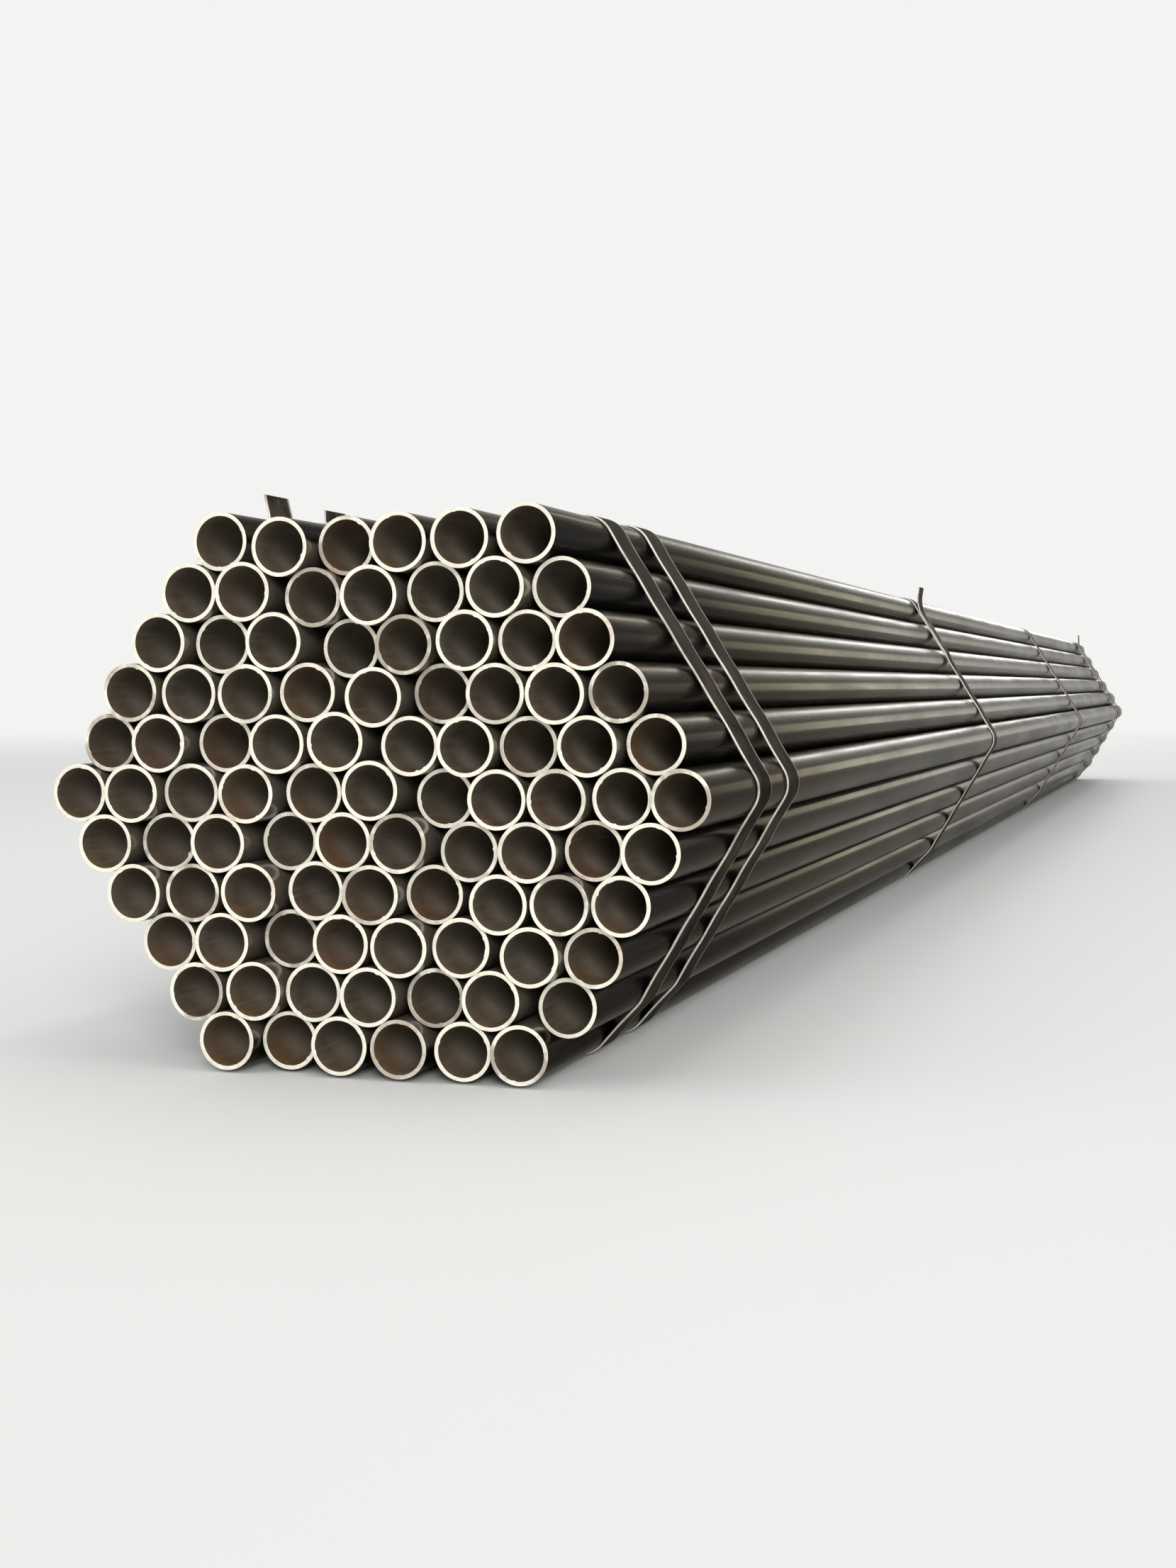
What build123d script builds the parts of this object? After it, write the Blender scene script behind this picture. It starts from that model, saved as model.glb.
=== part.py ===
from build123d import *
from math import cos, hypot, radians, sin, sqrt
import os

# Hexagonal bundle of welded black steel pipes, held by flat steel straps.
# Ninety-one plain-ended pipes lie in eleven rows, six pipes to a side, and rest on the straps.
# Frame: the pipes run along Y with their front ends at -Y, X is to the right seen from the
# front, Z is up, and the origin is under the middle of the bundle on the floor it lies on.

# Pipes, in millimetres
pipe_outer_diameter = 48.3
pipe_wall = 3.0
pipe_length = 6000.0
pipes_per_side = 6
pipe_clearance = 0.3
end_setback_max = 26.0

# How the pipes have settled: each pipe rests on two below it, and each angle in degrees says
# how steeply a line from pipe to pipe climbs. Sixty is a perfect honeycomb, and less opens a gap.
bottom_row_angles = [59.6, 59.2, 57.5, 56.8, 59.8]
left_side_angles = [53.4, 54.6, 57.2, 57.0, 59.2]
right_side_angles = [47.5, 59.6, 59.9, 59.3, 60.0]

# Straps
strap_width = 50.0
strap_thickness = 1.8
strap_clearance = 0.3
first_strap_from_end = 165.0
paired_strap_gap = 72.0
single_strap_count = 2

# Welded lap of each strap, measured down the flank from the bundle's upper corner
lap_from_corner = 22.0
lap_length = 70.0
lap_gap = 0.2
joggle_length = 12.0
inner_end_gap = 2.0
weld_diameter = 9.0
weld_crown = 0.7
weld_from_lap_end = 16.0
tail_radius = 52.0
tail_angles = [46.0, 34.0, 40.0, 52.0, 30.0, 44.0]
tail_ends = [16.0, 22.0, 12.0, 18.0, 24.0, 14.0]
lap_on_left = [True, True, False, True, False, True]

# Sizes that follow from the ones above
pipe_radius = pipe_outer_diameter / 2
bore_radius = pipe_radius - pipe_wall
pipe_pitch = pipe_outer_diameter + pipe_clearance
pipe_floor_height = strap_thickness + strap_clearance + pipe_radius
front_end = -pipe_length / 2


def resting_place(left, right):
    """Centre of a pipe that lies in the groove between two pipes."""
    run = right[0] - left[0]
    rise = right[1] - left[1]
    span = hypot(run, rise)
    lift = sqrt(pipe_pitch**2 - (span / 2) ** 2)
    x = (left[0] + right[0]) / 2 - lift * rise / span
    z = (left[1] + right[1]) / 2 + lift * run / span
    return x, z


def leaning_place(pipe, lean, side):
    """Centre of a pipe that leans outward on the end pipe of the row below."""
    angle = radians(lean)
    return pipe[0] + side * pipe_pitch * cos(angle), pipe[1] + pipe_pitch * sin(angle)


def settle_rows():
    """Pipe centres of every row, from the bottom row up, each row from left to right."""
    row = [(0.0, pipe_floor_height)]
    for lean in bottom_row_angles:
        row.append((row[-1][0] + 2 * pipe_pitch * cos(radians(lean)), pipe_floor_height))
    rows = [row]
    for left_lean, right_lean in zip(left_side_angles, right_side_angles):
        resting = [resting_place(a, b) for a, b in zip(row, row[1:])]
        left_end = leaning_place(row[0], left_lean, -1)
        right_end = leaning_place(row[-1], right_lean, 1)
        row = [left_end] + resting + [right_end]
        rows.append(row)
    while len(row) > pipes_per_side:
        row = [resting_place(a, b) for a, b in zip(row, row[1:])]
        rows.append(row)
    middle = (rows[pipes_per_side - 1][0][0] + rows[pipes_per_side - 1][-1][0]) / 2
    return [[(x - middle, z) for x, z in row] for row in rows]


def setback(row, place):
    """How far one pipe's front end sits behind the foremost ends."""
    scatter = (0.755 * row + 0.57 * place) % 1
    return end_setback_max * scatter**3


def outer_corners(points):
    """Corners of the tightest loop round the pipe centres, counter-clockwise from the front."""

    def half_loop(ordered):
        loop = []
        for point in ordered:
            while len(loop) > 1:
                a, b = loop[-2], loop[-1]
                turn = (b[0] - a[0]) * (point[1] - a[1]) - (b[1] - a[1]) * (point[0] - a[0])
                if turn > straight_turn:
                    break
                loop.pop()
            loop.append(point)
        return loop[:-1]

    straight_turn = 1e-3
    ordered = sorted(points)
    return half_loop(ordered) + half_loop(ordered[::-1])


def flank_below(loop, corner):
    """A corner of the loop and the one that follows it round the loop."""
    place = loop.index(corner)
    upper, lower, *rest = loop[place:] + loop[:place]
    return upper, lower


def flat_shape(points):
    """Flat face through points given as X and Z."""
    return Plane.XZ * make_face(Polyline([(x, z) for x, z in points], close=True))


def strap_shape(loop, corner, next_corner, tail_turn, tail_end):
    """Side view of one strap: the loop, its joggle, the lap on the flank and the free tail."""
    inner_offset = pipe_radius + strap_clearance
    core = make_face(Polyline(loop, close=True))
    outside = offset(core, amount=inner_offset + strap_thickness, kind=Kind.ARC)
    inside = offset(core, amount=inner_offset, kind=Kind.ARC)
    band = Plane.XZ * (outside - inside)

    length = hypot(next_corner[0] - corner[0], next_corner[1] - corner[1])
    down = ((next_corner[0] - corner[0]) / length, (next_corner[1] - corner[1]) / length)
    side = -1 if down[0] < 0 else 1
    out = (-side * down[1], side * down[0])

    def on_flank(along, height):
        x = corner[0] + down[0] * along + out[0] * (inner_offset + height)
        z = corner[1] + down[1] * along + out[1] * (inner_offset + height)
        return x, z

    lap_bottom = strap_thickness + lap_gap
    lap_top = lap_bottom + strap_thickness
    lap_end = lap_from_corner + lap_length
    joggle_top = lap_end + inner_end_gap
    joggle_foot = joggle_top + joggle_length
    cut = [(lap_end, -strap_clearance), (lap_end, lap_bottom)]
    cut += [(joggle_foot, lap_bottom), (joggle_foot, -strap_clearance)]
    joggle = [(joggle_foot, 0), (joggle_foot, strap_thickness)]
    joggle += [(joggle_top, lap_top), (joggle_top, lap_bottom)]

    upper = [(joggle_top, lap_top), (lap_from_corner, lap_top)]
    lower = [(joggle_top, lap_bottom), (lap_from_corner, lap_bottom)]
    centre = lap_top + tail_radius
    steps = 6
    for step in range(1, steps + 1):
        angle = radians(tail_turn) * step / steps
        for line, radius in ((upper, tail_radius), (lower, tail_radius + strap_thickness)):
            line.append((lap_from_corner - radius * sin(angle), centre - radius * cos(angle)))
    angle = radians(tail_turn)
    for line in (upper, lower):
        along, height = line[-1]
        line.append((along - tail_end * cos(angle), height + tail_end * sin(angle)))
    lap = upper + lower[::-1]

    shape = band - flat_shape([on_flank(*point) for point in cut])
    shape += flat_shape([on_flank(*point) for point in joggle])
    shape += flat_shape([on_flank(*point) for point in lap])

    welds = []
    standing = (Align.CENTER, Align.CENTER, Align.MIN)
    for along in (lap_from_corner + weld_from_lap_end, lap_end - weld_from_lap_end):
        x, z = on_flank(along, strap_thickness / 2)
        seat = Plane(origin=(x, 0, z), z_dir=(out[0], 0, out[1]))
        height = lap_top + weld_crown - strap_thickness / 2
        welds.append(seat * Cylinder(weld_diameter / 2, height, align=standing))
    return shape, welds


os.makedirs("parts", exist_ok=True)

rows = settle_rows()

ring = Circle(pipe_radius) - Circle(bore_radius)
pipe = extrude(Plane.XZ * ring, amount=pipe_length / 2, both=True)
for row_number, row in enumerate(reversed(rows), start=1):
    pipes = [Pos(x, setback(row_number, place), z) * pipe for place, (x, z) in enumerate(row)]
    export_step(Compound(children=pipes), f"parts/pipes_row_{row_number:02d}.step")

loop = outer_corners([centre for row in rows for centre in row])
left_flank = flank_below(loop, rows[-1][0])
right_flank = flank_below(loop[::-1], rows[-1][-1])

first_centre = first_strap_from_end + strap_width / 2
pair_pitch = strap_width + paired_strap_gap
near_end = [first_centre, first_centre + pair_pitch]
between = [pipe_length * n / (single_strap_count + 1) for n in range(1, single_strap_count + 1)]
stations = near_end + between + [pipe_length - s for s in reversed(near_end)]
for number, station in enumerate(stations):
    choice = number % len(lap_on_left)
    flank = left_flank if lap_on_left[choice] else right_flank
    shape, welds = strap_shape(loop, *flank, tail_angles[choice], tail_ends[choice])
    strap = extrude(shape, amount=strap_width / 2, both=True)
    for weld in welds:
        strap += weld
    strap = Pos(0, front_end + station, 0) * strap
    export_step(strap, f"parts/strap_{number + 1:02d}.step")
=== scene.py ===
import math
import bmesh
import bpy
import numpy as np
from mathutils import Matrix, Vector


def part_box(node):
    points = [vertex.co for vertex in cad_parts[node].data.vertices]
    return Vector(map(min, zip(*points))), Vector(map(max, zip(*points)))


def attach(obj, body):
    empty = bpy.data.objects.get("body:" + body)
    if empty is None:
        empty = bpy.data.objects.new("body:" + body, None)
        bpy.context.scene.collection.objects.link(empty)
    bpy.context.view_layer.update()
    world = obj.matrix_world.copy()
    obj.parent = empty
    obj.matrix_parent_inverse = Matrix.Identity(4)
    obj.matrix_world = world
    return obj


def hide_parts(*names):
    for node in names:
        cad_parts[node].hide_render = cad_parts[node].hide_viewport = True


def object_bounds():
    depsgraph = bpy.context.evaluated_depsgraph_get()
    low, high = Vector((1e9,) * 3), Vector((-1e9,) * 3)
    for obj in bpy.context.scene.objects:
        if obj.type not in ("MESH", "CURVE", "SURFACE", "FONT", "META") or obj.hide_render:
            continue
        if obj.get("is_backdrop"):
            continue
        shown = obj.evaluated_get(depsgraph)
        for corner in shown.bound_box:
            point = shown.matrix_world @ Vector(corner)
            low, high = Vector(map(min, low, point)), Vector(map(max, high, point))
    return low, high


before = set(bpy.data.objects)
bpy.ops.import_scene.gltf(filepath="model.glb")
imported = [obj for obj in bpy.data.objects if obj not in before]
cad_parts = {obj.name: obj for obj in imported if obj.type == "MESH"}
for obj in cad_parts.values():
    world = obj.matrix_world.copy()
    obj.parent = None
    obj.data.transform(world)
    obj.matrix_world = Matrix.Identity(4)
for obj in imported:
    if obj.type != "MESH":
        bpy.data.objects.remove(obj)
cad_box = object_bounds()

# A hexagonal bundle of welded black steel pipes held by flat steel straps, in metres.
# The pipes run along Y with their front ends at -Y, X is to the right and Z is up.
# Every pipe's place, radius and length is read from the frame. Each row of pipes is one piece.

# Pipes
PIPE_SIDES = 96
PIPE_CLEARANCE = 0.0003
BODY_DEPTHS = [0.004, 0.025, 0.11, 0.45]
SHELTER_REACH = 1.2
MERGE_DISTANCE = 1e-6
ROW_SEED_STEP = 100

# Saw-cut ends of the pipes
CUT_TILT = 0.0005
LEAST_TILT_SHARE = 0.1
CUT_WAVE = 0.00012
CUT_WAVES = 9
BEVEL_RANGE = (0.00010, 0.00036)
BEVEL_WAVES = (7, 11)
BEVEL_ROUNDNESS = 0.3
SCALE_EDGE = 0.0004
BORE_SHIFT = 0.00012
BEAD_HEIGHT = (0.0004, 0.0010)
BEAD_HALF_WIDTH = 0.0012
LIP_ROLL = 0.00028
LIP_DEPTH = 0.0012
MOST_BURRS = 3
BURR_HEIGHT = (0.0003, 0.0009)
BURR_HALF_ANGLE = (0.02, 0.07)

# Straps, with the sizes of the solid ones
STRAP_WIDTH = 0.050
STRAP_THICKNESS = 0.0018
STRAP_CLEARANCE = 0.0003
LAP_FROM_CORNER = 0.022
LAP_LENGTH = 0.070
LAP_GAP = 0.0002
JOGGLE_LENGTH = 0.012
INNER_END_GAP = 0.002
WELD_FROM_LAP_END = 0.016
WELD_RADIUS = 0.0045
WELD_CROWN = 0.0007
TAIL_RADIUS = 0.052
TAIL_ANGLES = [46.0, 34.0, 40.0, 52.0, 30.0, 44.0]
TAIL_ENDS = [0.016, 0.022, 0.012, 0.018, 0.024, 0.014]
LAP_ON_LEFT = [True, True, False, True, False, True]

# Detail of the straps
STRAIGHT_TURN = 1e-9
TAIL_STEPS = 12
STRAP_STEP = 0.006
STRAP_TURN_STEP = math.radians(5)
STRAP_SAG = 0.0005
STRAP_WANDER = 0.0012
WANDER_WAVES = 6
STRAP_EDGE_RADIUS = 0.00045
EDGE_TURNS = ((-1, (-90, -45, 0)), (1, (0, 45, 90)))
FACE_LINES = (0.94, 0.5, 0.0, -0.5, -0.94)
STRAP_SEED = 9000

# Detail of the welds on the straps
WELD_RINGS = 7
WELD_SIDES = 24
WELD_INNERMOST = 0.02
WELD_LOBES = 3
WELD_UNEVENNESS = 0.06
WELD_DIP = 0.35
WELD_DIP_REACH = 0.3
WELD_SINK = 0.0001

# Maps: the bands that a strap is folded into, and the rest as shares of a band's height
STRAP_BANDS = 6
MAP_MARGIN = 0.02
MAP_ROOM = 1 - 2 * MAP_MARGIN
PATCH_ROOM = 0.9

# Camera: where the photographer stood, seen from the middle of the front ends
CAMERA_AZIMUTH = math.radians(22.5)
CAMERA_DISTANCE = 1.75
CAMERA_RISE = 0.07
AIM_DEPTH = 0.62
AIM_DROP = 0.035
CAMERA_LENS = 50.0

# Surroundings
BACKGROUND = (0.90, 0.90, 0.885)
SKY_COLOUR = (1.0, 1.0, 1.0)
SKY_STRENGTH = 0.80
FLOOR_COLOUR = (0.80, 0.80, 0.785)
FLOOR_ROUGHNESS = 0.8
FLOOR_RADIUS = 60.0
FLOOR_SIDES = 96
FLOOR_DROP = 0.0003
FLOOR_FADE = (3.0, 12.0)
BODY_AIM = (0.0, 0.0, 0.3)

# Material slots of a row of pipes, and of a strap
SCALE, RIM, BORE = range(3)
FACE, EDGE, WELD = range(3)


# Places read from the frame

def solids_of(node):
    """Corner points of each separate solid in a node, from left to right."""
    shape = bmesh.new()
    shape.from_mesh(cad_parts[node].data)
    bmesh.ops.remove_doubles(shape, verts=shape.verts, dist=MERGE_DISTANCE)
    waiting = set(shape.verts)
    found = []
    while waiting:
        reached = [waiting.pop()]
        for vertex in reached:
            for edge in vertex.link_edges:
                other = edge.other_vert(vertex)
                if other in waiting:
                    waiting.remove(other)
                    reached.append(other)
        found.append(np.array([vertex.co[:] for vertex in reached]))
    shape.free()
    return sorted(found, key=lambda points: points[:, 0].mean())


def pipe_of(points):
    """Centre, radii and ends of one pipe, from its corner points."""
    low, high = points.min(0), points.max(0)
    centre = (low + high) / 2
    away = np.hypot(points[:, 0] - centre[0], points[:, 2] - centre[2])
    return {"x": centre[0], "z": centre[2], "front": low[1], "rear": high[1],
            "radius": away.max(), "bore": away.min()}


row_names = sorted(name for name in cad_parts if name.startswith("pipes_row"))
strap_names = sorted(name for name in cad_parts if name.startswith("strap"))
rows = [[pipe_of(points) for points in solids_of(name)] for name in row_names]
pipes = [pipe for row in rows for pipe in row]
pipe_length = pipes[0]["rear"] - pipes[0]["front"]
pipe_pitch = 2 * pipes[0]["radius"] + PIPE_CLEARANCE


# Meshes

def new_piece(name, points, quads, slots, smooth, materials, attributes, end_faces=()):
    """A mesh object made from arrays, with a material slot for each face and named attributes."""
    mesh = bpy.data.meshes.new(name)
    mesh.from_pydata(points.tolist(), [], quads.tolist() + [list(face) for face in end_faces])
    mesh.polygons.foreach_set("material_index", slots)
    mesh.polygons.foreach_set("use_smooth", smooth)
    for material in materials:
        mesh.materials.append(material)
    for label, values in attributes.items():
        layer = mesh.attributes.new(label, "FLOAT_VECTOR", "POINT")
        layer.data.foreach_set("vector", values.astype(np.float32).ravel())
    mesh.update()
    piece = bpy.data.objects.new(name, mesh)
    bpy.context.scene.collection.objects.link(piece)
    return piece


def add_map(mesh, places):
    """Gives a mesh its map, from the place of every corner of every face."""
    layer = mesh.uv_layers.new(name="OFBake")
    layer.uv.foreach_set("vector", places.astype(np.float32).ravel())


def tube_quads(rings, around, closed):
    """Quads from each ring of points to the next, and from the last to the first if closed."""
    steps = rings if closed else rings - 1
    ring, place = np.meshgrid(np.arange(steps), np.arange(around), indexing="ij")
    far_ring = (ring + 1) % rings
    far_place = (place + 1) % around
    corners = [ring * around + place, ring * around + far_place,
               far_ring * around + far_place, far_ring * around + place]
    return np.stack(corners, -1).reshape(-1, 4)


def round_noise(rng, angles, waves):
    """Smooth noise round a circle, mostly between -1 and 1."""
    total = np.zeros_like(angles)
    for wave in range(1, waves + 1):
        total += rng.uniform(-1, 1) * np.cos(wave * angles + rng.uniform(0, 2 * math.pi))
    return total / math.sqrt(waves)


def round_bump(angles, middle, half_width):
    """One smooth bump, 1 high, at an angle of a circle."""
    turn = (angles - middle + math.pi) % (2 * math.pi) - math.pi
    return np.exp(-((turn / half_width) ** 2))


# Pipes

def cut_rings(rng, pipe, angles, seam):
    """Rings of one saw-cut end from the outside to the bore, and the bore behind them. A ring is
    its radius, its depth, and the slot and smoothness of the faces up to the next ring."""
    tilt = CUT_TILT * rng.uniform(LEAST_TILT_SHARE, 1)
    face = tilt * np.cos(angles - rng.uniform(0, 2 * math.pi))
    face += CUT_WAVE * round_noise(rng, angles, CUT_WAVES)
    face -= face.min()
    narrow, wide = BEVEL_RANGE
    out_bevel, in_bevel = (
        narrow + (wide - narrow) * np.clip(0.5 + 0.5 * round_noise(rng, angles, waves), 0, 1)
        for waves in BEVEL_WAVES)
    shift = BORE_SHIFT * np.cos(angles - rng.uniform(0, 2 * math.pi))
    bead = rng.uniform(*BEAD_HEIGHT) * round_bump(angles, seam, BEAD_HALF_WIDTH / pipe["bore"])
    bore = pipe["bore"] + shift - bead
    lip = bore - LIP_ROLL
    for _ in range(rng.integers(MOST_BURRS + 1)):
        burr = round_bump(angles, rng.uniform(0, 2 * math.pi), rng.uniform(*BURR_HALF_ANGLE))
        lip -= rng.uniform(*BURR_HEIGHT) * burr
    outer = np.full_like(angles, pipe["radius"])
    out_round, in_round = BEVEL_ROUNDNESS * out_bevel, BEVEL_ROUNDNESS * in_bevel
    rings = [
        (outer, face + out_bevel + SCALE_EDGE, SCALE, True),
        (outer, face + out_bevel, RIM, True),
        (outer - out_round, face + out_round, RIM, True),
        (outer - out_bevel, face, RIM, False),
        ((outer + lip) / 2, face, RIM, False),
        (lip + in_bevel, face, RIM, True),
        (lip + in_round, face + in_round, RIM, True),
        (lip, face + in_bevel, BORE, True),
        (bore, face + in_bevel + LIP_DEPTH, BORE, True),
    ]
    return rings, bore


def pipe_rings(rng, pipe, angles, seam):
    """All rings of a pipe, once round its wall: radius, Y, slot and smoothness."""
    front_cut, front_bore = cut_rings(rng, pipe, angles, seam)
    rear_cut, rear_bore = cut_rings(rng, pipe, angles, seam)
    outer = np.full_like(angles, pipe["radius"])
    level = np.ones_like(angles)
    from_front = [(pipe["front"] + depth) * level for depth in BODY_DEPTHS]
    to_rear = [(pipe["rear"] - depth) * level for depth in reversed(BODY_DEPTHS)]
    rings = [(outer, y, SCALE, True) for y in to_rear[::-1] + from_front[::-1]]
    rings += [(radius, pipe["front"] + depth, slot, smooth) for radius, depth, slot, smooth in front_cut]
    rings += [(front_bore, y, BORE, True) for y in from_front]
    rings += [(rear_bore, y, BORE, True) for y in to_rear]
    finishes = [(slot, smooth) for _, _, slot, smooth in rear_cut]
    finishes = finishes[-2::-1] + [(SCALE, True)]
    for (radius, depth, _, _), finish in zip(reversed(rear_cut), finishes):
        rings.append((radius, pipe["rear"] - depth, *finish))
    return rings


def row_map(grids):
    """Map of a row, with one band for each grid of points, in which narrow faces keep enough room."""
    bands, rings, around, _ = grids.shape
    steps = np.linalg.norm(np.roll(grids, -1, axis=1) - grids, axis=3).mean(2)
    edges = np.concatenate([np.zeros((bands, 1)), np.cumsum(np.sqrt(steps), axis=1)], axis=1)
    edges /= edges[:, -1:]
    band = np.arange(bands)[:, None, None]
    place = np.arange(around)[None, None, :]
    near = np.broadcast_to(edges[:, :-1, None], (bands, rings, around))
    far = np.broadcast_to(edges[:, 1:, None], (bands, rings, around))
    low = np.broadcast_to((band + MAP_MARGIN + MAP_ROOM * place / around) / bands, near.shape)
    high = low + MAP_ROOM / around / bands
    u = np.stack([near, near, far, far], -1)
    v = np.stack([low, high, high, low], -1)
    return np.stack([u, v], -1)


def shelter_of(pipe, angles, loop):
    """How much each side of a pipe faces into the bundle, from 0 to 1."""
    reach = SHELTER_REACH * pipe["radius"]
    x = pipe["x"] + reach * np.cos(angles)
    z = pipe["z"] + reach * np.sin(angles)
    outside = np.full_like(angles, -math.inf)
    for (ax, az), (bx, bz) in zip(loop, loop[1:] + loop[:1]):
        length = math.hypot(bx - ax, bz - az)
        off_side = ((x - ax) * (bz - az) - (z - az) * (bx - ax)) / length
        outside = np.maximum(outside, off_side)
    return np.clip(0.5 - outside / pipe["radius"], 0, 1)


def make_row(name, row, loop, materials, first_seed):
    """One row of pipes as one piece."""
    angles = np.linspace(0, 2 * math.pi, PIPE_SIDES, endpoint=False)
    grids, quads, slots, smooth, skins, natures, shelters = [], [], [], [], [], [], []
    for place, pipe in enumerate(row):
        rng = np.random.default_rng(first_seed + place)
        seam = rng.uniform(0, 2 * math.pi)
        rings = pipe_rings(rng, pipe, angles, seam)
        radius = np.array([ring[0] for ring in rings])
        y = np.array([ring[1] for ring in rings])
        x = pipe["x"] + radius * np.cos(angles)
        z = pipe["z"] + radius * np.sin(angles)
        grids.append(np.stack([x, y, z], -1))
        quads.append(tube_quads(len(rings), PIPE_SIDES, closed=True) + place * radius.size)
        slots.append(np.repeat([ring[2] for ring in rings], PIPE_SIDES))
        smooth.append(np.repeat([ring[3] for ring in rings], PIPE_SIDES))
        turned = angles - seam
        skins.append(np.stack([radius * np.cos(turned), y - pipe["front"], radius * np.sin(turned)], -1))
        natures.append(np.broadcast_to(rng.uniform(size=3), skins[-1].shape))
        shelters.append(np.broadcast_to(shelter_of(pipe, angles, loop)[:, None], skins[-1].shape))
    grids = np.array(grids)
    attributes = {"skin": np.array(skins), "nature": np.array(natures), "shelter": np.array(shelters)}
    piece = new_piece(name, grids.reshape(-1, 3), np.concatenate(quads), np.concatenate(slots),
                      np.concatenate(smooth), materials, attributes)
    add_map(piece.data, row_map(grids))
    return piece


# Straps

def outer_corners(points):
    """Corners of the tightest loop round the pipe centres, counter-clockwise from the front."""

    def half_loop(ordered):
        loop = []
        for point in ordered:
            while len(loop) > 1:
                a, b = loop[-2], loop[-1]
                turn = (b[0] - a[0]) * (point[1] - a[1]) - (b[1] - a[1]) * (point[0] - a[0])
                if turn > STRAIGHT_TURN:
                    break
                loop.pop()
            loop.append(point)
        return loop[:-1]

    ordered = sorted(points)
    return half_loop(ordered) + half_loop(ordered[::-1])


def middle_of(loop):
    """Middle of the box round a loop of points."""
    points = np.array(loop)
    return (points.min(0) + points.max(0)) / 2


def turned_by(angle, vector):
    """A flat vector turned counter-clockwise by an angle."""
    x, z = vector
    return np.array([x * math.cos(angle) - z * math.sin(angle), x * math.sin(angle) + z * math.cos(angle)])


def strap_line(loop, turning, tail_angle, tail_end):
    """Middle line of a strap from the tip of its tail to its inner end, the middles of its welds,
    and the directions along and out of the lap, all as X and Z. The loop starts at the corner
    above the lap, and turning is 1 where it runs counter-clockwise and -1 where it doesn't."""
    base = pipes[0]["radius"] + STRAP_CLEARANCE + STRAP_THICKNESS / 2
    lap_height = STRAP_THICKNESS + LAP_GAP
    lap_end = LAP_FROM_CORNER + LAP_LENGTH
    joggle_top = lap_end + INNER_END_GAP
    joggle_foot = joggle_top + JOGGLE_LENGTH
    loop = np.array(loop)
    sides = np.roll(loop, -1, axis=0) - loop
    lengths = np.hypot(*sides.T)
    ways = sides / lengths[:, None]
    outs = turning * np.stack([ways[:, 1], -ways[:, 0]], -1)

    def on_side(side, along, height):
        bays = max(round(lengths[side] / pipe_pitch), 1)
        sag = STRAP_SAG * math.sin(math.pi * along * bays / lengths[side]) ** 2
        sag *= 0 <= along <= lengths[side]
        return loop[side] + ways[side] * along + outs[side] * (base + height - sag)

    def run(side, start, end, start_height=0.0, end_height=0.0):
        for share in np.linspace(0, 1, math.ceil((end - start) / STRAP_STEP) + 1):
            ease = share * share * (3 - 2 * share)
            height = start_height + (end_height - start_height) * ease
            yield on_side(side, start + (end - start) * share, height)

    line = []
    radius = TAIL_RADIUS + STRAP_THICKNESS / 2
    tail_turn = math.radians(tail_angle)
    lap_start = on_side(0, LAP_FROM_CORNER, lap_height)
    bends = [(tail_turn * share, 0.0) for share in np.linspace(1, 0, TAIL_STEPS)]
    for turn, straight in [(tail_turn, tail_end)] + bends[:-1]:
        back = radius * math.sin(turn) + straight * math.cos(turn)
        rise = radius * (1 - math.cos(turn)) + straight * math.sin(turn)
        line.append(lap_start - ways[0] * back + outs[0] * rise)
    line += run(0, LAP_FROM_CORNER, joggle_top, lap_height, lap_height)
    line += list(run(0, joggle_top, joggle_foot, lap_height, 0.0))[1:]
    line += list(run(0, joggle_foot, lengths[0]))[1:]
    for side in range(1, len(loop) + 1):
        here, before = side % len(loop), side - 1
        turn = math.acos(np.clip(ways[here] @ ways[before], -1, 1))
        steps = max(math.ceil(turn / STRAP_TURN_STEP), 2)
        for step in range(1, steps):
            line.append(loop[here] + turned_by(turning * turn * step / steps, outs[before]) * base)
        line += run(here, 0.0, lap_end if here == 0 else lengths[here])
    welds = [on_side(0, along, lap_height + STRAP_THICKNESS / 2)
             for along in (LAP_FROM_CORNER + WELD_FROM_LAP_END, lap_end - WELD_FROM_LAP_END)]
    return np.array(line), welds, ways[0], outs[0]


def strap_section():
    """Outline of the strip across its length as Y and height, and the slot of each side of it."""
    half_width, half_thick, radius = STRAP_WIDTH / 2, STRAP_THICKNESS / 2, STRAP_EDGE_RADIUS
    half = []
    for corner, turns in EDGE_TURNS:
        for turn in map(math.radians, turns):
            across = half_width - radius + radius * math.cos(turn)
            half.append((across, corner * (half_thick - radius) + radius * math.sin(turn)))
    slots = [EDGE] * (len(half) - 1)
    half += [(share * half_width, half_thick) for share in FACE_LINES]
    slots += [FACE] * (len(half) - len(slots))
    half = np.array(half)
    return np.concatenate([half, -half]), slots * 2


def weld_rings():
    """A weld's rings as shares of its radius, and the angles of the points round each ring."""
    share = np.linspace(1, WELD_INNERMOST, WELD_RINGS)[:, None]
    angles = np.linspace(0, 2 * math.pi, WELD_SIDES, endpoint=False)[None, :]
    return share, angles


def weld_grid(place, way, out):
    """Points of one flat round weld, from its rim to its middle."""
    share, angles = weld_rings()
    radius = WELD_RADIUS * share * (1 + WELD_UNEVENNESS * np.sin(WELD_LOBES * angles) * share)
    dip = WELD_DIP * np.exp(-((share / WELD_DIP_REACH) ** 2))
    height = WELD_CROWN * (np.sqrt(1 - share**2) - dip)
    height = np.broadcast_to(height, radius.shape) - WELD_SINK
    along, across = radius * np.cos(angles), radius * np.sin(angles)
    flat = place + along[..., None] * way + height[..., None] * out
    return np.stack([flat[..., 0], across, flat[..., 1]], -1)


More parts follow.
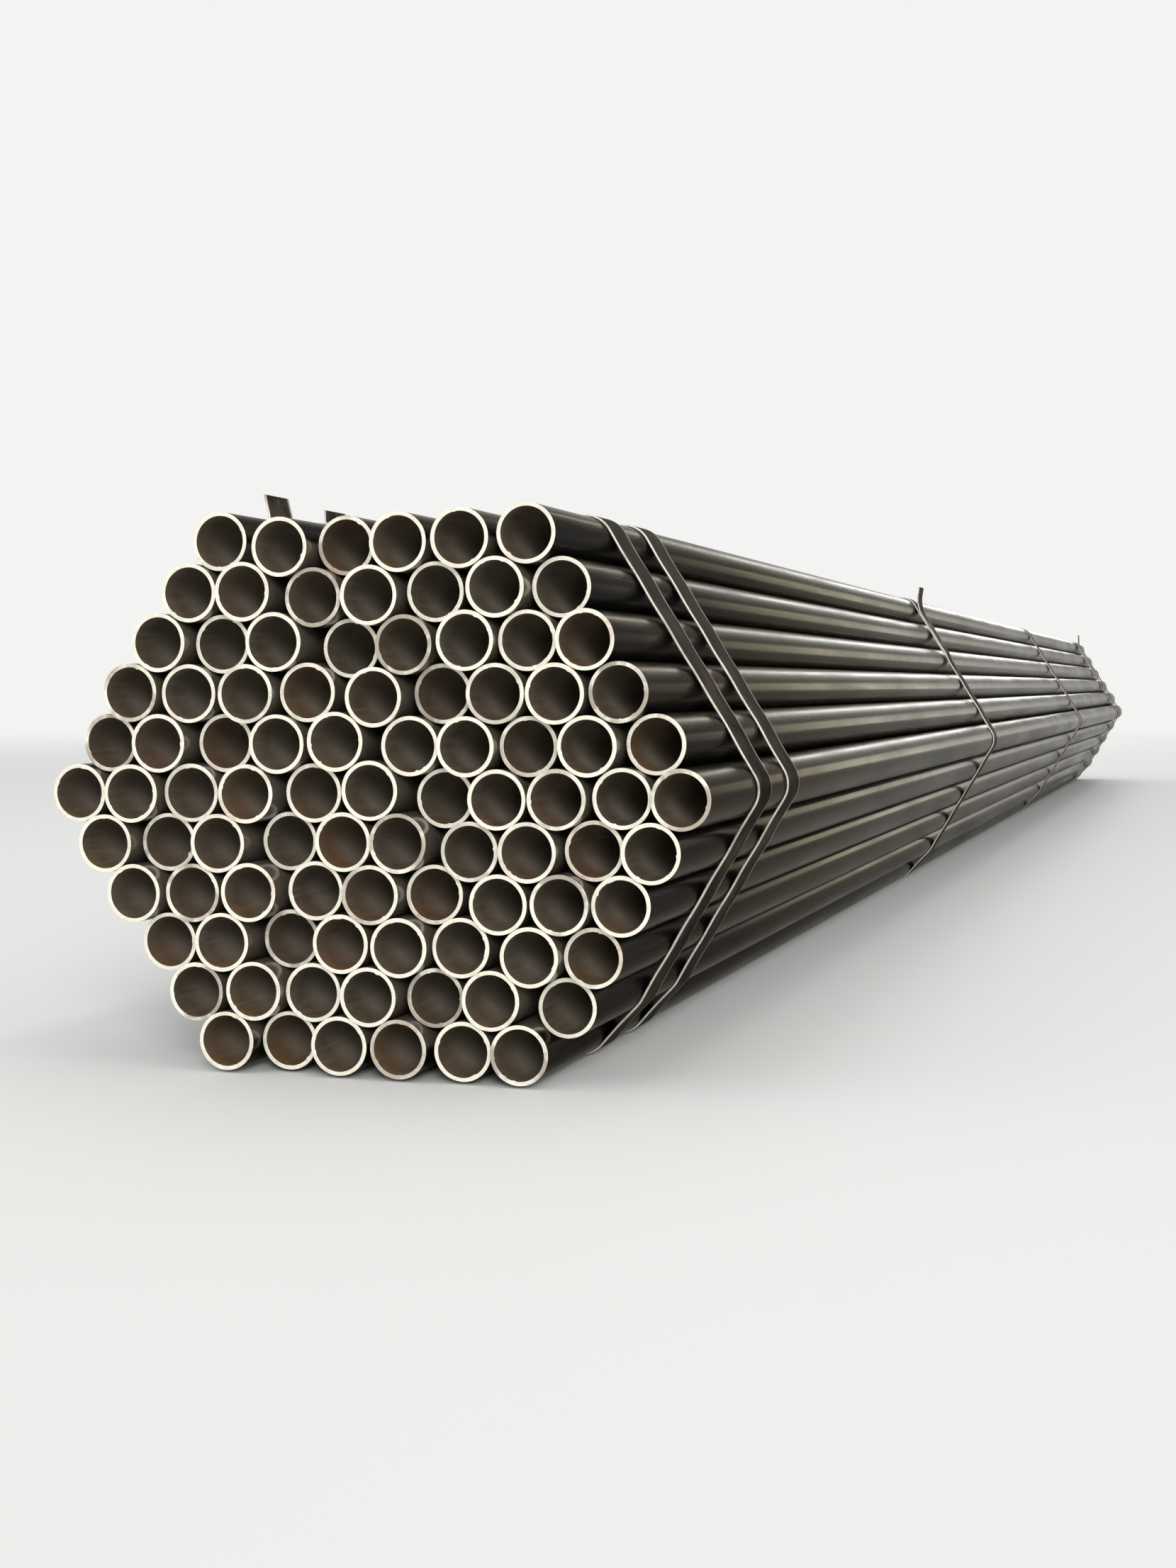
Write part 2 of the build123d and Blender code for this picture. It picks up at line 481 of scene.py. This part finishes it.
def weld_disc():
    """Places of a weld's points on a flat disc of radius 0.5."""
    share, angles = weld_rings()
    return 0.5 * np.stack([share * np.cos(angles), share * np.sin(angles)], -1).reshape(-1, 2)


def strap_map(rings, section, patches):
    """Map of a strap: its length folded into bands, and a last band for the other faces. Each
    patch holds the corners of such faces, as places no further than 0.5 from its middle."""
    bands = STRAP_BANDS + 1
    sides = np.linalg.norm(np.roll(section, -1, axis=0) - section, axis=1)
    edges = np.concatenate([[0], np.cumsum(np.sqrt(sides))])
    edges = MAP_MARGIN + MAP_ROOM * edges / edges[-1]
    steps = math.ceil((rings - 1) / STRAP_BANDS)
    ring, place = np.meshgrid(np.arange(rings - 1), np.arange(len(section)), indexing="ij")
    near, far = ring % steps / steps, (ring % steps + 1) / steps
    low, high = (ring // steps + edges[place]) / bands, (ring // steps + edges[place + 1]) / bands
    strip = np.stack([np.stack([near, near, far, far], -1), np.stack([low, high, high, low], -1)], -1)
    corners = [strip.reshape(-1, 2)]
    for number, patch in enumerate(patches):
        middle = ((number + 0.5) / len(patches), (STRAP_BANDS + 0.5) / bands)
        corners.append(middle + PATCH_ROOM / bands * patch.reshape(-1, 2))
    return np.concatenate(corners)


def make_strap(node, loop, turning, tail_angle, tail_end, materials, seed):
    """One strap as one piece: the strip with its lap and tail, and two welds."""
    rng = np.random.default_rng(seed)
    low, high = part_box(node)
    middle = (low[1] + high[1]) / 2
    line, welds, way, out = strap_line(loop, turning, tail_angle, tail_end)
    step = np.hypot(*np.diff(line, axis=0).T)
    along = np.concatenate([[0], np.cumsum(step)])
    tangent = np.gradient(line, along, axis=0)
    tangent /= np.hypot(*tangent.T)[:, None]
    normal = turning * np.stack([tangent[:, 1], -tangent[:, 0]], -1)
    section, section_slots = strap_section()
    centre = middle_of(loop)
    bearing = np.arctan2(line[:, 1] - centre[1], line[:, 0] - centre[0])
    wander = STRAP_WANDER * round_noise(rng, bearing, WANDER_WAVES)
    across = -turning * section[:, 0][None, :] + wander[:, None]
    place = line[:, None, :] + normal[:, None, :] * section[:, 1][None, :, None]
    grid = np.stack([place[..., 0], middle + across, place[..., 1]], -1)
    strip = np.stack([np.broadcast_to((along - along[TAIL_STEPS])[:, None], across.shape), across,
                      np.broadcast_to(section[:, 1], across.shape)], -1)
    rings, around = across.shape
    points, skins = [grid.reshape(-1, 3)], [strip.reshape(-1, 3)]
    quads = [tube_quads(rings, around, closed=False)]
    slots = [np.tile(section_slots, rings - 1)]

    weld_quads = tube_quads(WELD_RINGS, WELD_SIDES, closed=False)
    crowns = []
    first = rings * around
    for place in welds:
        weld = weld_grid(place, turning * way, out)
        weld[..., 1] += middle + wander[TAIL_STEPS]
        points.append(weld.reshape(-1, 3))
        skins.append(np.zeros_like(points[-1]))
        quads.append(weld_quads + first)
        slots.append(np.full(len(weld_quads), WELD))
        first += len(points[-1])
        crowns.insert(0, range(first - WELD_SIDES, first))
    ends = [range(around - 1, -1, -1), range((rings - 1) * around, rings * around)]
    slots += [[WELD] * len(crowns), [EDGE] * len(ends)]
    slots = np.concatenate(slots)
    points = np.concatenate(points)
    nature = np.broadcast_to(rng.uniform(size=3), points.shape)
    smooth = np.ones(len(slots), bool)
    smooth[-len(ends):] = False
    piece = new_piece(node + "_made", points, np.concatenate(quads), slots, smooth, materials,
                      {"skin": np.concatenate(skins), "nature": nature}, crowns + ends)
    disc = weld_disc()
    patches = [disc[weld_quads]] * len(welds) + [disc[-WELD_SIDES:]] * len(crowns)
    patches += [section / STRAP_WIDTH] * len(ends)
    add_map(piece.data, strap_map(rings, section, patches))
    return piece


# Colours, dark and light where two make a range

SCALE_DARK = (0.044, 0.042, 0.037)
SCALE_LIGHT = (0.086, 0.082, 0.071)
SCALE_TONE = (0.106, 0.098, 0.083)
SCALE_LINES = (0.148, 0.141, 0.124)
SCALE_SCUFFS = (0.20, 0.195, 0.18)
SCALE_RUST = (0.13, 0.062, 0.030)
SCALE_GRAZING = (0.25, 0.236, 0.203)
SEAM_BLUE = (0.035, 0.040, 0.050)
SEAM_GREY = (0.16, 0.155, 0.145)
# Dust and painted light on the sheltered sides of the pipes near the ends: the paler colour further in
# stands in for light that little reaches there
DUST_AND_PAINTED_LIGHT_NEAR = (0.108, 0.090, 0.070)
DUST_AND_PAINTED_LIGHT_DEEP = (0.42, 0.355, 0.28)

CUT_DARK = (0.80, 0.76, 0.63)
CUT_LIGHT = (0.96, 0.92, 0.79)
CUT_DULL = (0.32, 0.275, 0.225)
CUT_RUST = (0.50, 0.27, 0.15)

BORE_DARK = (0.100, 0.085, 0.063)
BORE_LIGHT = (0.152, 0.129, 0.096)
BORE_STREAKS = (0.200, 0.170, 0.127)
BORE_RUST = (0.315, 0.152, 0.056)
BORE_TONE = (0.132, 0.087, 0.052)
BORE_BROWN = (0.195, 0.106, 0.050)
# Painted light: a pale colour in the bores from a few centimetres in, standing in for light that hardly
# reaches there
BORE_PAINTED_LIGHT = (0.62, 0.56, 0.46)

STRAP_DARK = (0.064, 0.060, 0.051)
STRAP_LIGHT = (0.114, 0.106, 0.090)
STRAP_LINES = (0.190, 0.177, 0.153)
STRAP_SCUFFS = (0.27, 0.25, 0.22)
STRAP_RUST = (0.17, 0.088, 0.045)
# Rubbed strap edges, painted lighter also as the highlight along the edges
STRAP_WORN_AND_HIGHLIGHT = (0.55, 0.50, 0.42)
STRAP_BLUE = (0.030, 0.034, 0.048)
STRAP_GRAZING = (0.20, 0.19, 0.18)
EDGE_DARK = (0.62, 0.58, 0.50)
EDGE_LIGHT = (0.82, 0.78, 0.68)
EDGE_DULL = (0.26, 0.20, 0.15)
WELD_DARK = (0.085, 0.080, 0.078)
WELD_LIGHT = (0.30, 0.28, 0.25)

# Lengths in the materials. Each pair is where a change starts and where it is complete.
SEAM_BAND = (0.003, 0.0065)
SEAM_LINE = (0.0003, 0.0009)
# Reach of the dust and painted light between the pipes, and where its colour turns pale as painted light
DUST_AND_PAINTED_LIGHT_REACH = (0.05, 0.30)
PAINTED_LIGHT_PALER = (0.03, 0.12)
# Where the painted light in the bores comes in and where it fades out again
BORE_PAINTED_LIGHT_START = (0.015, 0.10)
BORE_PAINTED_LIGHT_REACH = (0.20, 0.50)
WORN_AND_HIGHLIGHT_FROM_EDGE = (0.0038, 0.0016)
WORN_AND_HIGHLIGHT_RAGGEDNESS = 0.007
BLUE_FROM_WELD = (0.005, 0.014)
PATTERN_STEP_X = 31.0
PATTERN_STEP_Y = 17.0

# Sockets of the node that mixes two colours
MIX_FACTOR, MIX_FIRST, MIX_SECOND = 0, 6, 7
MIX_RESULT = 2


# Materials

class Shading:
    """Nodes of a material or of the world, added and joined by short calls."""

    def __init__(self, owner):
        owner.use_nodes = True
        self.owner = owner
        self.tree = owner.node_tree
        self.tree.nodes.clear()

    def add(self, kind, inputs=None, output=0, **settings):
        made = self.tree.nodes.new(kind)
        for label, value in settings.items():
            setattr(made, label, value)
        for label, value in (inputs or {}).items():
            socket = made.inputs[label]
            if isinstance(value, bpy.types.NodeSocket):
                self.tree.links.new(value, socket)
            elif socket.type == "RGBA":
                socket.default_value = (*value, 1.0)
            else:
                socket.default_value = value
        return made.outputs[output] if made.outputs else made

    def attribute(self, name):
        return self.add("ShaderNodeAttribute", output="Vector", attribute_name=name)

    def split(self, vector):
        parts = self.tree.nodes.new("ShaderNodeSeparateXYZ")
        self.tree.links.new(vector, parts.inputs[0])
        return tuple(parts.outputs)

    def join(self, x, y, z):
        return self.add("ShaderNodeCombineXYZ", {0: x, 1: y, 2: z})

    def maths(self, operation, *values):
        return self.add("ShaderNodeMath", dict(enumerate(values)), operation=operation)

    def times(self, first, second):
        return self.maths("MULTIPLY", first, second)

    def plus(self, first, second):
        return self.maths("ADD", first, second)

    def span(self, value, low, high, to_low=0.0, to_high=1.0):
        """Goes smoothly from to_low to to_high while value goes from low to high."""
        inputs = {"Value": value, "From Min": low, "From Max": high, "To Min": to_low, "To Max": to_high}
        return self.add("ShaderNodeMapRange", inputs, interpolation_type="SMOOTHSTEP")

    def scaled(self, vector, factors):
        return self.add("ShaderNodeVectorMath", {0: vector, 1: factors}, operation="MULTIPLY")

    def moved(self, vector, by):
        return self.add("ShaderNodeVectorMath", {0: vector, 1: by}, operation="ADD")

    def length(self, vector):
        return self.add("ShaderNodeVectorMath", {0: vector}, output="Value", operation="LENGTH")

    def noise(self, vector, scale, detail, roughness):
        inputs = {"Vector": vector, "Scale": scale, "Detail": detail, "Roughness": roughness}
        return self.add("ShaderNodeTexNoise", inputs)

    def mix(self, factor, first, second):
        inputs = {MIX_FACTOR: factor, MIX_FIRST: first, MIX_SECOND: second}
        return self.add("ShaderNodeMix", inputs, output=MIX_RESULT, data_type="RGBA")

    def bump(self, height, distance, strength):
        inputs = {"Height": height, "Distance": distance, "Strength": strength}
        return self.add("ShaderNodeBump", inputs)

    def surface(self, **inputs):
        """Ends a material with a surface. An input's name has an underscore for each space."""
        sockets = {label.replace("_", " "): value for label, value in inputs.items()}
        shader = self.add("ShaderNodeBsdfPrincipled", sockets)
        self.add("ShaderNodeOutputMaterial", {"Surface": shader})
        return self.owner


class SkinShading(Shading):
    """A material that follows the skin of each pipe or strap. Tone and rust are two random values
    of each one, and its pattern comes from a part of the noise that is its own."""

    def __init__(self, name):
        super().__init__(bpy.data.materials.new(name))
        self.skin = self.attribute("skin")
        self.tone, self.rust, seed = self.split(self.attribute("nature"))
        step = self.join(self.times(seed, PATTERN_STEP_X), self.times(seed, PATTERN_STEP_Y), 0.0)
        self.place = self.moved(self.skin, step)

    def pattern(self, scale, detail, roughness, stretch=None):
        place = self.scaled(self.place, stretch) if stretch else self.place
        return self.noise(place, scale, detail, roughness)


def from_nearer_end(s):
    """Distance of each place on a pipe from the nearer of its ends."""
    along = s.split(s.skin)[1]
    return s.maths("MINIMUM", along, s.maths("SUBTRACT", pipe_length, along))


def scale_material():
    """Outside of a pipe: dark mill scale with drawing lines, scuffs, a weld line, rust, and on the
    sheltered sides near the ends dust that is also painted light.
    """
    s = SkinShading("pipe_scale")
    cloud = s.pattern(scale=16.0, detail=4.0, roughness=0.55, stretch=(1.0, 0.2, 1.0))
    lines = s.pattern(scale=420.0, detail=3.0, roughness=0.6, stretch=(1.0, 0.006, 1.0))
    scuffs = s.pattern(scale=110.0, detail=6.0, roughness=0.7, stretch=(1.0, 0.025, 1.0))
    specks = s.pattern(scale=330.0, detail=3.0, roughness=0.7)
    patches = s.pattern(scale=7.0, detail=2.0, roughness=0.5)

    colour = s.mix(s.span(cloud, 0.3, 0.7), SCALE_DARK, SCALE_LIGHT)
    colour = s.mix(s.times(s.tone, 0.5), colour, SCALE_TONE)
    colour = s.mix(s.span(lines, 0.45, 0.8, 0.0, 0.35), colour, SCALE_LINES)
    scuffed = s.span(scuffs, 0.60, 0.74)
    colour = s.mix(s.times(scuffed, 0.45), colour, SCALE_SCUFFS)
    rusty = s.times(s.span(specks, 0.60, 0.70), s.span(patches, 0.48, 0.68))
    rusty = s.times(rusty, s.span(s.rust, 0.1, 1.0, 0.15, 0.9))
    colour = s.mix(rusty, colour, SCALE_RUST)

    toward_seam, _, beside_seam = s.split(s.skin)
    off_seam = s.maths("ABSOLUTE", beside_seam)
    seam_side = s.maths("GREATER_THAN", toward_seam, 0.0)
    band = s.times(s.span(off_seam, *SEAM_BAND, 1.0, 0.0), seam_side)
    line = s.times(s.span(off_seam, *SEAM_LINE, 1.0, 0.0), seam_side)
    colour = s.mix(s.times(band, 0.35), colour, SEAM_BLUE)
    colour = s.mix(s.times(line, 0.5), colour, SEAM_GREY)

    # Sheltered sides near the ends: dust, and a paler colour further in that is painted light where little
    # light reaches
    from_end = from_nearer_end(s)
    sheltered = s.span(s.split(s.attribute("shelter"))[0], 0.45, 0.75)
    painted_light_share = s.times(sheltered, s.span(from_end, *DUST_AND_PAINTED_LIGHT_REACH, 1.0, 0.0))
    dust_and_painted_light_colour = s.mix(s.span(from_end, *PAINTED_LIGHT_PALER), DUST_AND_PAINTED_LIGHT_NEAR, DUST_AND_PAINTED_LIGHT_DEEP)
    colour = s.mix(painted_light_share, colour, dust_and_painted_light_colour)

    roughness = s.span(cloud, 0.25, 0.75, 0.165, 0.255)
    roughness = s.plus(roughness, s.times(scuffed, 0.08))
    roughness = s.plus(roughness, s.times(rusty, 0.25))
    height = s.plus(s.times(lines, 0.6), s.times(rusty, 0.2))
    return s.surface(Base_Color=colour, Metallic=s.span(painted_light_share, 0.0, 1.0, 0.92, 0.15),
                     Specular_Tint=SCALE_GRAZING, Roughness=roughness,
                     Normal=s.bump(height, distance=0.000015, strength=0.4))


def rim_material():
    """Saw-cut end of a pipe: bright steel with fine saw marks, dull places and a little fresh rust."""
    s = SkinShading("pipe_cut")
    arcs = s.pattern(scale=34.0, detail=3.0, roughness=0.6)
    marks = s.pattern(scale=1500.0, detail=2.0, roughness=0.6, stretch=(1.0, 1.0, 0.16))
    spots = s.pattern(scale=160.0, detail=4.0, roughness=0.65)

    colour = s.mix(s.span(marks, 0.3, 0.7), CUT_DARK, CUT_LIGHT)
    dull = s.times(s.span(s.tone, 0.58, 0.96, 0.1, 1.0), s.span(arcs, 0.38, 0.58))
    colour = s.mix(s.times(dull, 0.85), colour, CUT_DULL)
    rusty = s.times(s.span(s.rust, 0.35, 1.0, 0.05, 1.0), s.span(arcs, 0.52, 0.68))
    rusty = s.times(rusty, s.span(spots, 0.38, 0.62))
    colour = s.mix(s.times(rusty, 0.7), colour, CUT_RUST)
    roughness = s.span(marks, 0.3, 0.7, 0.34, 0.48)
    height = s.plus(s.times(marks, 0.7), s.times(spots, 0.3))
    return s.surface(Base_Color=colour, Metallic=0.35, Roughness=roughness,
                     Normal=s.bump(height, distance=0.00004, strength=0.6))


def bore_material():
    """Inside of a pipe: brown-grey scale with streaks, rust where water lay, and a paler colour a little
    way in from the ends, painted light where little light reaches.
    """
    s = SkinShading("pipe_bore")
    cloud = s.pattern(scale=22.0, detail=4.0, roughness=0.6)
    streaks = s.pattern(scale=300.0, detail=4.0, roughness=0.65, stretch=(1.0, 0.05, 1.0))
    spots = s.pattern(scale=150.0, detail=4.0, roughness=0.7, stretch=(1.0, 0.5, 1.0))
    facing = s.add("ShaderNodeNewGeometry", output="Normal")
    bottom = s.span(s.split(facing)[2], -0.1, 0.95)

    colour = s.mix(s.span(cloud, 0.3, 0.7), BORE_DARK, BORE_LIGHT)
    colour = s.mix(s.span(streaks, 0.42, 0.72, 0.0, 0.55), colour, BORE_STREAKS)
    rusty = s.times(bottom, s.span(s.rust, 0.0, 1.0, 0.25, 1.0))
    rusty = s.times(rusty, s.span(spots, 0.36, 0.66))
    colour = s.mix(s.times(rusty, 0.8), colour, BORE_RUST)
    colour = s.mix(s.times(s.tone, 0.4), colour, BORE_TONE)
    colour = s.mix(s.span(s.rust, 0.6, 1.0, 0.0, 0.55), colour, BORE_BROWN)
    # Painted light: the bore turns pale from a few centimetres in, where little light reaches, and fades
    # back further in
    from_end = from_nearer_end(s)
    painted_light_share = s.times(s.span(from_end, *BORE_PAINTED_LIGHT_START, 0.0, 0.8),
                    s.span(from_end, *BORE_PAINTED_LIGHT_REACH, 1.0, 0.0))
    colour = s.mix(painted_light_share, colour, BORE_PAINTED_LIGHT)
    roughness = s.span(streaks, 0.3, 0.7, 0.42, 0.60)
    height = s.plus(s.times(streaks, 0.7), s.times(spots, 0.4))
    return s.surface(Base_Color=colour, Metallic=0.15, Roughness=roughness,
                     Normal=s.bump(height, distance=0.0001, strength=0.8))


def strap_face_material():
    """Wide face of a strap: dark hot-rolled strip with rubbed streaks, rubbed edges painted lighter also
    as a highlight along them, and thin rust.
    """
    s = SkinShading("strap_face")
    cloud = s.pattern(scale=16.0, detail=4.0, roughness=0.6)
    lines = s.pattern(scale=700.0, detail=3.0, roughness=0.6, stretch=(0.03, 1.0, 1.0))
    scuffs = s.pattern(scale=90.0, detail=6.0, roughness=0.7, stretch=(0.3, 1.0, 1.0))
    specks = s.pattern(scale=420.0, detail=3.0, roughness=0.7)

    colour = s.mix(s.span(cloud, 0.3, 0.7), STRAP_DARK, STRAP_LIGHT)
    colour = s.mix(s.span(lines, 0.45, 0.8, 0.0, 0.4), colour, STRAP_LINES)
    scuffed = s.span(scuffs, 0.58, 0.74)
    colour = s.mix(s.times(scuffed, 0.5), colour, STRAP_SCUFFS)
    rusty = s.times(s.span(specks, 0.50, 0.66), s.span(cloud, 0.42, 0.66))
    rusty = s.times(rusty, s.span(s.rust, 0.0, 1.0, 0.15, 0.65))
    colour = s.mix(rusty, colour, STRAP_RUST)

    along, across, _ = s.split(s.skin)
    # Bands along both edges of the face: rubbed steel, painted lighter also as a highlight on the edges
    ragged = s.times(s.maths("SUBTRACT", scuffs, 0.5), WORN_AND_HIGHLIGHT_RAGGEDNESS)
    edgeward = s.plus(s.maths("ABSOLUTE", across), ragged)
    worn_and_highlight = s.span(edgeward, *(STRAP_WIDTH / 2 - inset for inset in WORN_AND_HIGHLIGHT_FROM_EDGE))
    worn_and_highlight = s.times(worn_and_highlight, s.span(lines, 0.25, 0.55, 0.45, 1.0))
    worn_and_highlight = s.times(worn_and_highlight, s.span(cloud, 0.32, 0.52, 0.5, 1.0))
    colour = s.mix(s.times(worn_and_highlight, 0.7), colour, STRAP_WORN_AND_HIGHLIGHT)
    for middle in (WELD_FROM_LAP_END, LAP_LENGTH - WELD_FROM_LAP_END):
        from_weld = s.length(s.join(s.maths("SUBTRACT", along, middle), across, 0.0))
        colour = s.mix(s.span(from_weld, *BLUE_FROM_WELD, 0.75, 0.0), colour, STRAP_BLUE)
    roughness = s.span(cloud, 0.3, 0.7, 0.34, 0.50)
    roughness = s.plus(roughness, s.times(rusty, 0.3))
    height = s.plus(s.times(lines, 0.5), s.times(specks, 0.5))
    return s.surface(Base_Color=colour, Metallic=s.span(worn_and_highlight, 0.0, 1.0, 1.0, 0.45),
                     Specular_Tint=STRAP_GRAZING, Roughness=roughness,
                     Normal=s.bump(height, distance=0.00006, strength=0.8))


def strap_edge_material():
    """Slit edge of a strap: bright, with dull brown stretches."""
    s = SkinShading("strap_edge")
    stretches = s.pattern(scale=18.0, detail=5.0, roughness=0.65)
    marks = s.pattern(scale=900.0, detail=2.0, roughness=0.6, stretch=(1.0, 1.0, 0.3))
    colour = s.mix(s.span(marks, 0.3, 0.7), EDGE_DARK, EDGE_LIGHT)
    colour = s.mix(s.span(stretches, 0.52, 0.72, 0.0, 0.8), colour, EDGE_DULL)
    return s.surface(Base_Color=colour, Metallic=0.4, Roughness=s.span(marks, 0.3, 0.7, 0.32, 0.46),
                     Normal=s.bump(marks, distance=0.00005, strength=0.6))


def weld_material():
    """Weld on a strap's lap: grey bead with dark scale."""
    s = Shading(bpy.data.materials.new("strap_weld"))
    place = s.add("ShaderNodeTexCoord", output="Object")
    spots = s.noise(place, scale=600.0, detail=4.0, roughness=0.65)
    colour = s.mix(s.span(spots, 0.4, 0.65), WELD_DARK, WELD_LIGHT)
    return s.surface(Base_Color=colour, Metallic=0.5, Roughness=s.span(spots, 0.3, 0.7, 0.3, 0.5),
                     Normal=s.bump(spots, distance=0.0002, strength=0.9))


# The bundle

corners = outer_corners([(pipe["x"], pipe["z"]) for pipe in pipes])
pipe_materials = [scale_material(), rim_material(), bore_material()]
for number, (name, row) in enumerate(zip(row_names, rows), start=1):
    piece = make_row(name + "_made", row, corners, pipe_materials, first_seed=ROW_SEED_STEP * number)
    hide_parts(name)
    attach(piece, "root")

strap_materials = [strap_face_material(), strap_edge_material(), weld_material()]
top_row = rows[0]
for number, name in enumerate(strap_names):
    turning = 1 if LAP_ON_LEFT[number] else -1
    top_pipe = top_row[0] if turning == 1 else top_row[-1]
    loop = corners if turning == 1 else corners[::-1]
    start = loop.index((top_pipe["x"], top_pipe["z"]))
    piece = make_strap(name, loop[start:] + loop[:start], turning,
                       TAIL_ANGLES[number], TAIL_ENDS[number], strap_materials, seed=STRAP_SEED + number)
    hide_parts(name)
    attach(piece, "root")


# Surroundings

def seen_directly(s):
    """1 for what the camera, gloss or glass sees of the surroundings, and 0 for their light."""
    paths = s.tree.nodes.new("ShaderNodeLightPath")
    seen = s.maths("MAXIMUM", paths.outputs["Is Camera Ray"], paths.outputs["Is Glossy Ray"])
    return s.maths("MAXIMUM", seen, paths.outputs["Is Transmission Ray"])


def make_floor():
    """A pale round floor that passes into the background far from the bundle."""
    s = Shading(bpy.data.materials.new("floor"))
    distance = s.length(s.add("ShaderNodeTexCoord", output="Object"))
    lit = s.add("ShaderNodeBsdfPrincipled", {"Base Color": FLOOR_COLOUR, "Roughness": FLOOR_ROUGHNESS})
    plain = s.add("ShaderNodeEmission", {"Color": BACKGROUND, "Strength": 1.0})
    fade = s.times(s.span(distance, *FLOOR_FADE), seen_directly(s))
    shader = s.add("ShaderNodeMixShader", {0: fade, 1: lit, 2: plain})
    s.add("ShaderNodeOutputMaterial", {"Surface": shader})
    shape = bmesh.new()
    bmesh.ops.create_circle(shape, cap_ends=True, radius=FLOOR_RADIUS, segments=FLOOR_SIDES)
    mesh = bpy.data.meshes.new("floor")
    shape.to_mesh(mesh)
    shape.free()
    mesh.materials.append(s.owner)
    floor = bpy.data.objects.new("floor", mesh)
    floor.location.z = -FLOOR_DROP
    bpy.context.scene.collection.objects.link(floor)
    floor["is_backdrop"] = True


def make_sky():
    """An even white light from all sides, seen as the background's colour."""
    world = bpy.data.worlds.new("sky")
    bpy.context.scene.world = world
    s = Shading(world)
    light = s.add("ShaderNodeBackground", {"Color": SKY_COLOUR, "Strength": SKY_STRENGTH})
    plain = s.add("ShaderNodeBackground", {"Color": BACKGROUND, "Strength": 1.0})
    shader = s.add("ShaderNodeMixShader", {0: seen_directly(s), 1: light, 2: plain})
    s.add("ShaderNodeOutputWorld", {"Surface": shader})


def aim(thing, place, target):
    """Puts a lamp or camera at a place and turns it to a target."""
    way = Vector([t - p for t, p in zip(target, place)])
    thing.location = place
    thing.rotation_mode = "QUATERNION"
    thing.rotation_quaternion = way.to_track_quat("-Z", "Y")


def add_lamp(name, place, target, width, height, power, spread):
    """A flat lamp that isn't seen itself."""
    lamp = bpy.data.lights.new(name, "AREA")
    lamp.shape = "RECTANGLE"
    lamp.size = width
    lamp.size_y = height
    lamp.energy = power
    lamp.spread = math.radians(spread)
    light = bpy.data.objects.new(name, lamp)
    bpy.context.scene.collection.objects.link(light)
    aim(light, place, target)
    light.visible_camera = False


front_y = min(pipe["front"] for pipe in pipes)
half_height = (cad_box[0][2] + cad_box[1][2]) / 2
front_aim = (0.0, front_y, half_height)
make_floor()
make_sky()

# Each lamp's name, place, aim, width, height, power in watts and spread in degrees
lamps = [
    ("overhead", (1.0, 0.0, 3.0), BODY_AIM, 8.0, 0.45, 13.0, 180),
    ("side", (3.0, 0.0, 1.6), BODY_AIM, 8.0, 0.3, 8.0, 180),
    ("front", (2.8, front_y - 6.5, 3.0), front_aim, 3.0, 3.0, 19.0, 30),
    ("back", (-0.2, 9.5, 2.5), front_aim, 0.35, 4.0, 7.0, 70),
    ("back_low", (2.2, 9.5, 1.1), front_aim, 0.6, 1.4, 3.0, 70),
]
for lamp in lamps:
    add_lamp(*lamp)

camera_data = bpy.data.cameras.new("camera")
camera_data.lens = CAMERA_LENS
camera = bpy.data.objects.new("camera", camera_data)
bpy.context.scene.collection.objects.link(camera)
stand = (CAMERA_DISTANCE * math.sin(CAMERA_AZIMUTH), front_y - CAMERA_DISTANCE * math.cos(CAMERA_AZIMUTH),
         half_height + CAMERA_RISE)
aim(camera, stand, (0.0, front_y + AIM_DEPTH, half_height - AIM_DROP))
bpy.context.scene.camera = camera
bpy.context.scene.view_settings.view_transform = "Standard"

boxes = {"cad": cad_box, "visual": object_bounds()}
sizes = {label: [list(corner) for corner in box] for label, box in boxes.items()}
